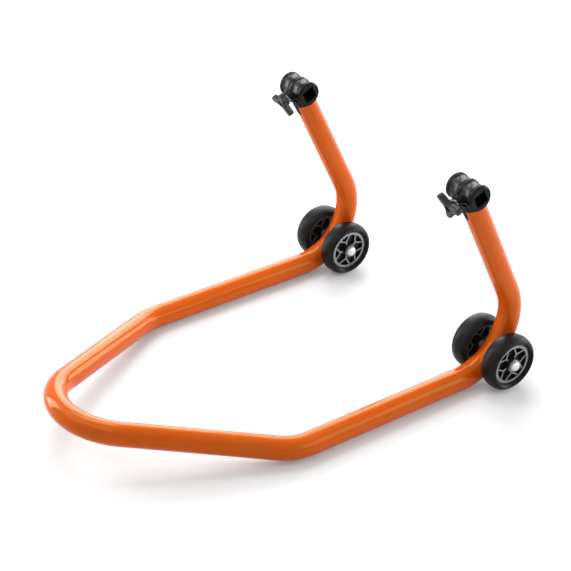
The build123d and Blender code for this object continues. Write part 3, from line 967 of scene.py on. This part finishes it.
def key_grid(settings, tube_end):
    """The key below the collar: rings of |x / a|^8 + |y / b|^8 = 1 whose top slopes down to the tube."""
    share = np.array((0.0, 0.02, 0.05, 0.3, 0.6, 0.9, 0.97, 1.0))
    top = TUBE_RADIUS + settings.key_proud * (1 - share) + 0.15 * MM
    top = top - np.array((0, 0, 0, 0, 0, 0, 0.25, 0.8)) * MM
    width = settings.key_width / 2 - np.array((0, 0, 0, 0, 0, 0.1, 0.45, 1.3)) * MM
    foot, overlap = TUBE_RADIUS - 4 * MM, 2 * MM
    place = -tube_end + overlap - share * (settings.key_length + overlap)
    turn = full_turn(64)
    across, along = (np.sign(wave) * np.abs(wave) ** 0.25 for wave in (np.cos(turn), np.sin(turn)))
    x = (top + foot)[:, None] / 2 + (top - foot)[:, None] / 2 * across
    return np.stack([x, width[:, None] * along, place[:, None] + 0 * turn], -1)


class STAND_OT_clamp_heads(bpy.types.Operator):
    """Build the moulded clamp heads and finish their inserts and pads"""
    bl_idname = "stand.clamp_heads"
    bl_label = "Clamp Heads"

    def execute(self, context):
        settings = context.scene.stand_heads
        tube_end = context.scene.stand_tube.head_gap
        # The band colour passed here is a painted sheen for the soft grey reflection in the heads' bands.
        plastic = moulded_plastic("Head plastic", settings.plastic, 0.24, 0.63, band=settings.band)
        brass = bare_metal("Turned brass", settings.brass, 0.42, 500.0)
        boss, hole, pocket = (size / 2 for size in (settings.boss_diameter, settings.insert_diameter,
                                                    settings.pad_pocket))
        root, face = 13 * MM, settings.boss_reach
        boss_profile = rounded([(hole, root, 0), (boss, root, 0), (boss, face, 0.7 * MM),
                                (hole, face, 0.25 * MM), (hole, root, 0)], 5)[:-1]
        pocket_profile = np.array([(pocket, 4 * MM), (pocket, settings.pocket_floor)])
        parts = (("collar", collar_grid(settings, tube_end), False, "UNION"),
                 ("key", key_grid(settings, tube_end), False, "UNION"),
                 ("boss", round_x(boss_profile, 96), True, "UNION"),
                 ("pocket", round_x(pocket_profile, 96), False, "DIFFERENCE"))
        for side in SIDES:
            barrel = barrel_grid(settings, node_size(f"clamp_head_{side}").y)
            head = grid_piece(f"moulded_head_{side}", [on_head(barrel, side)], ring=True)
            for name, grid, ring, operation in parts:
                combine(head, grid_piece(name, [on_head(grid, side)], ring), operation)
            settle(head, "frame", f"clamp_head_{side}", plastic)
            finish_nodes(brass, f"thread_insert_{side}", f"clamp_pad_{side}")
        return {"FINISHED"}


# ---- Knobs and clamp screws ----

def lobe_outline(settings, columns, inset=0.0):
    """The knob's outline seen along the screw: the larger of a hub circle and the nearest tapering lobe.

    At an angle t from its lobe's line, a lobe reaches its sloping side, root / (sin t + slope cos t),
    or its round tip, c cos t + sqrt(tip^2 - (c sin t)^2). The outline is sampled evenly along its length.
    """
    turn = full_turn(7200)
    pitch = 2 * math.pi / settings.lobes
    from_lobe = (turn + pitch / 2) % pitch - pitch / 2
    cosine, sine = np.cos(from_lobe), np.abs(np.sin(from_lobe))
    tip, root = settings.tip_width / 2 - inset, settings.root_width / 2 - inset
    centre = settings.reach - settings.tip_width / 2
    slope = (root - tip) / centre
    side = root / np.maximum(sine + slope * cosine, 1e-6)
    round_tip = centre * cosine + np.sqrt(np.maximum(tip**2 - (centre * sine) ** 2, 0))
    on_tip = (side * cosine > centre) & (centre * sine < tip)
    lobe = np.where(on_tip, round_tip, side)
    hub = settings.hub_diameter / 2 - inset
    lead = np.clip(0.5 + 0.5 * (lobe - hub) / settings.blend, 0, 1)
    radius = hub + (lobe - hub) * lead + settings.blend * 0.5 * lead * (1 - lead)
    shape = np.stack([radius * np.cos(turn), radius * np.sin(turn)], -1)
    steps = np.linalg.norm(np.diff(shape, axis=0, append=shape[:1]), axis=1)
    travelled = np.concatenate([[0], np.cumsum(steps)])
    wanted = np.linspace(0, travelled[-1], columns, endpoint=False)
    closed = np.concatenate([shape, shape[:1]])
    return np.stack([np.interp(wanted, travelled, closed[:, index]) for index in (0, 1)], -1)


def knob_grid(settings, turn, columns=288):
    """A lobed knob: rings that go from a faceted hub out to the lobes, over them, and into a recess."""
    seat, face = settings.seat, settings.seat + settings.hub_length
    back = face - settings.thickness
    edge, recess = settings.edge, settings.recess_diameter / 2
    outline, inner = lobe_outline(settings, columns), lobe_outline(settings, columns, edge)
    direction = outline / np.linalg.norm(outline, axis=1)[:, None]
    bearing = np.arctan2(direction[:, 1], direction[:, 0])
    hub = settings.hub_diameter / 2
    facet = direction * (hub * (0.955 + 0.025 * np.cos(6 * bearing)))[:, None]
    neck = direction * np.minimum(np.linalg.norm(inner, axis=1), hub * 0.97)[:, None]
    fillet = np.linspace(0, math.pi / 2, 7)
    shapes = [inner + (outline - inner) * math.sin(share) for share in fillet]
    rises = [edge * (1 - math.cos(share)) for share in fillet]
    rings = [
        (direction * (hub - 3.0 * MM), seat),
        (facet * 0.93, seat),
        (facet * 0.985, seat + 0.25 * MM),
        (facet, seat + 0.7 * MM),
        (facet, back - 0.4 * MM),
        (neck, back),
        *((shape, back + rise) for shape, rise in zip(shapes, rises)),
        *((shape, face - rise) for shape, rise in zip(shapes[::-1], rises[::-1])),
        (direction * (recess + 0.35 * MM), face - 0.02 * MM),
        (direction * recess, face - 0.35 * MM),
        (direction * recess, face - settings.recess_depth + 0.3 * MM),
        (direction * (recess - 0.4 * MM), face - settings.recess_depth),
    ]
    flat, places = (np.array(values) for values in zip(*rings))
    across, up = flat[..., 0], flat[..., 1]
    y = -across * math.sin(turn) + up * math.cos(turn)
    z = across * math.cos(turn) + up * math.sin(turn)
    return np.stack([places[:, None] + 0 * y, y, z], -1)


def screw_grid(settings, start, end, rows_per_turn=14, columns=48):
    """A helical thread: radius = outside less depth times a rounded wave of x / pitch - a / (2 pi)."""
    pitch = settings.screw_pitch
    x = np.linspace(start, end, int((end - start) / pitch * rows_per_turn))[:, None]
    turn = full_turn(columns)
    phase = (x / pitch - turn / (2 * math.pi)) % 1
    wave = np.clip(np.abs(2 * phase - 1) * 1.35 - 0.12, 0, 1)
    lead = np.clip(np.minimum(x - start, end - x) / (1.2 * pitch), 0, 1)
    radius = settings.screw_diameter / 2 - 0.61 * pitch * (1 - (1 - wave) * lead)
    return np.stack([x + 0 * turn, radius * np.cos(turn), radius * np.sin(turn)], -1)


class STAND_OT_knobs(bpy.types.Operator):
    """Build the lobed knobs and their threaded screws"""
    bl_idname = "stand.knobs"
    bl_label = "Knobs and Screws"

    def execute(self, context):
        settings, heads = context.scene.stand_knobs, context.scene.stand_heads
        plastic = moulded_plastic("Knob plastic", heads.plastic, 0.24, 0.8)
        zinc = bare_metal("Screw zinc", context.scene.stand_axles.zinc, 0.40, 400.0)
        screw_start, screw_end = heads.socket_width / 2 + 4.1 * MM, settings.seat + 6 * MM
        turns = {"right": settings.turn_right, "left": settings.turn_left}
        for side in SIDES:
            knob = grid_piece(f"moulded_knob_{side}", [on_head(knob_grid(settings, turns[side]), side)])
            settle(knob, f"knob_{side}", f"clamp_knob_{side}", plastic)
            grid = on_head(screw_grid(settings, screw_start, screw_end), side)
            screw = grid_piece(f"threaded_screw_{side}", [grid])
            settle(screw, f"knob_{side}", f"clamp_screw_{side}", zinc)
        return {"FINISHED"}


# ---- Stage ----

def background_rays(tree):
    """1 for the rays that look at the background: the camera's, a reflection's and a see-through path's."""
    path = tree.nodes.new("ShaderNodeLightPath").outputs
    seen = maths(tree, "MAXIMUM", maths(tree, "MAXIMUM", path["Is Camera Ray"], path["Is Glossy Ray"]),
                 path["Is Transmission Ray"])
    return seen, path


def floor_material(settings):
    """Pale floor: a matt surface that takes the shadow, and a glow that lifts it to white.

    The glow is what the camera, a reflection or a see-through path looks at, and lights nothing.
    It is slight round the object, so that the shadow stays, and full where the lamps don't reach.
    """
    material, tree, shader, place = new_material("Studio floor", Specular_IOR_Level=0.0, Roughness=0.9)
    seen, path = background_rays(tree)
    share = remap(tree, path["Is Diffuse Ray"], 0.0, 1.0, 1.0, settings.bounce)
    tone = times(tree, vary(tree, place, 3.0, 0.88, 0.89), share)
    grey = add_node(tree, "ShaderNodeCombineColor", {0: tone, 1: tone, 2: tone})
    feed(tree, shader, Base_Color=grey.outputs[0])
    away = add_node(tree, "ShaderNodeVectorMath", {0: place}, operation="LENGTH").outputs["Value"]
    lift = remap(tree, away, settings.near_floor, settings.far_floor, settings.near_glow, 1.0)
    glow = add_node(tree, "ShaderNodeEmission", {"Strength": times(tree, seen, lift)})
    both = add_node(tree, "ShaderNodeAddShader", {0: shader.outputs[0], 1: glow.outputs[0]})
    tree.links.new(both.outputs[0], tree.nodes["Material Output"].inputs["Surface"])
    return material


def add_panel(name, bearing, height, width, tall, brightness, settings):
    """A soft panel that faces the object, at a bearing from +X towards +Y and an angle above the floor."""
    bearing, height = math.radians(bearing), math.radians(height)
    outward = Vector((math.cos(bearing) * math.cos(height), math.sin(bearing) * math.cos(height),
                      math.sin(height)))
    lamp = bpy.data.lights.new(name, "AREA")
    lamp.shape, lamp.size, lamp.size_y = "RECTANGLE", width, tall
    lamp.energy = math.pi * width * tall * brightness * settings.light_level
    light = add_object(name, lamp)
    light.location = Vector(settings.light_target) + outward * settings.panel_distance
    light.rotation_euler = (-outward).to_track_quat("-Z", "Y").to_euler()


def add_camera(settings):
    """A camera that looks along (sin h cos d, cos h cos d, -sin d), turned by its roll."""
    heading, dip, roll = settings.heading, settings.dip, settings.roll
    forward = Vector((math.sin(heading) * math.cos(dip), math.cos(heading) * math.cos(dip), -math.sin(dip)))
    level = Vector((math.cos(heading), -math.sin(heading), 0))
    over = level.cross(forward)
    right = level * math.cos(roll) + over * math.sin(roll)
    up = over * math.cos(roll) - level * math.sin(roll)
    data = bpy.data.cameras.new("Camera")
    data.lens, data.sensor_width, data.sensor_fit = settings.lens, 36, "HORIZONTAL"
    data.clip_start, data.clip_end = 0.05, 50
    camera = add_object("Camera", data)
    turn = Matrix((right, up, -forward)).transposed()
    camera.matrix_world = Matrix.Translation(settings.camera_place) @ turn.to_4x4()
    bpy.context.scene.camera = camera


class STAND_OT_stage(bpy.types.Operator):
    """Lay the floor, hang the lamps and set the camera"""
    bl_idname = "stand.stage"
    bl_label = "Stage"

    def execute(self, context):
        settings = context.scene.stand_stage
        half = settings.floor_size / 2
        mesh = bpy.data.meshes.new("floor")
        corners = [(-half, -half, 0), (half, -half, 0), (half, half, 0), (-half, half, 0)]
        mesh.from_pydata(corners, [], [(0, 1, 2, 3)])
        floor = add_object("floor", mesh)
        give(floor, floor_material(settings))
        world = bpy.data.worlds.new("Studio")
        context.scene.world = world
        world.use_nodes = True
        tree = world.node_tree
        background = tree.nodes["Background"]
        background.inputs["Color"].default_value = (1, 1, 1, 1)
        seen, _ = background_rays(tree)
        feed(tree, background, Strength=remap(tree, seen, 0.0, 1.0, settings.room_light, 1.0))
        for name, panel in PANELS.items():
            add_panel(name, *panel, settings)
        add_camera(settings)
        context.scene.view_settings.view_transform = "Standard"
        return {"FINISHED"}


# ---- Add-on ----

OPERATORS = (STAND_OT_bent_tube, STAND_OT_tyres, STAND_OT_wheel_cores, STAND_OT_axles,
             STAND_OT_clamp_heads, STAND_OT_knobs, STAND_OT_stage)


class STAND_PT_pieces(bpy.types.Panel):
    """Buttons for the stand's pieces, and the sizes and colours that shape them"""
    bl_idname = "STAND_PT_pieces"
    bl_label = "Paddock Stand"
    bl_space_type = "VIEW_3D"
    bl_region_type = "UI"
    bl_category = "Stand"

    def draw(self, context):
        for operator in OPERATORS:
            self.layout.operator(operator.bl_idname)
        for holder, group in SETTINGS.items():
            box = self.layout.box()
            for name in group.__annotations__:
                box.prop(getattr(context.scene, holder), name)


def register():
    for group in SETTINGS.values():
        bpy.utils.register_class(group)
    for holder, group in SETTINGS.items():
        setattr(bpy.types.Scene, holder, PointerProperty(type=group))
    for operator in OPERATORS:
        bpy.utils.register_class(operator)
    bpy.utils.register_class(STAND_PT_pieces)


def unregister():
    bpy.utils.unregister_class(STAND_PT_pieces)
    for operator in reversed(OPERATORS):
        bpy.utils.unregister_class(operator)
    for holder in SETTINGS:
        delattr(bpy.types.Scene, holder)
    for group in reversed(SETTINGS.values()):
        bpy.utils.unregister_class(group)


def main():
    register()
    bpy.ops.stand.bent_tube()
    bpy.ops.stand.tyres()
    bpy.ops.stand.wheel_cores()
    bpy.ops.stand.axles()
    bpy.ops.stand.clamp_heads()
    bpy.ops.stand.knobs()
    bpy.ops.stand.stage()


if __name__ == "__main__":
    main()
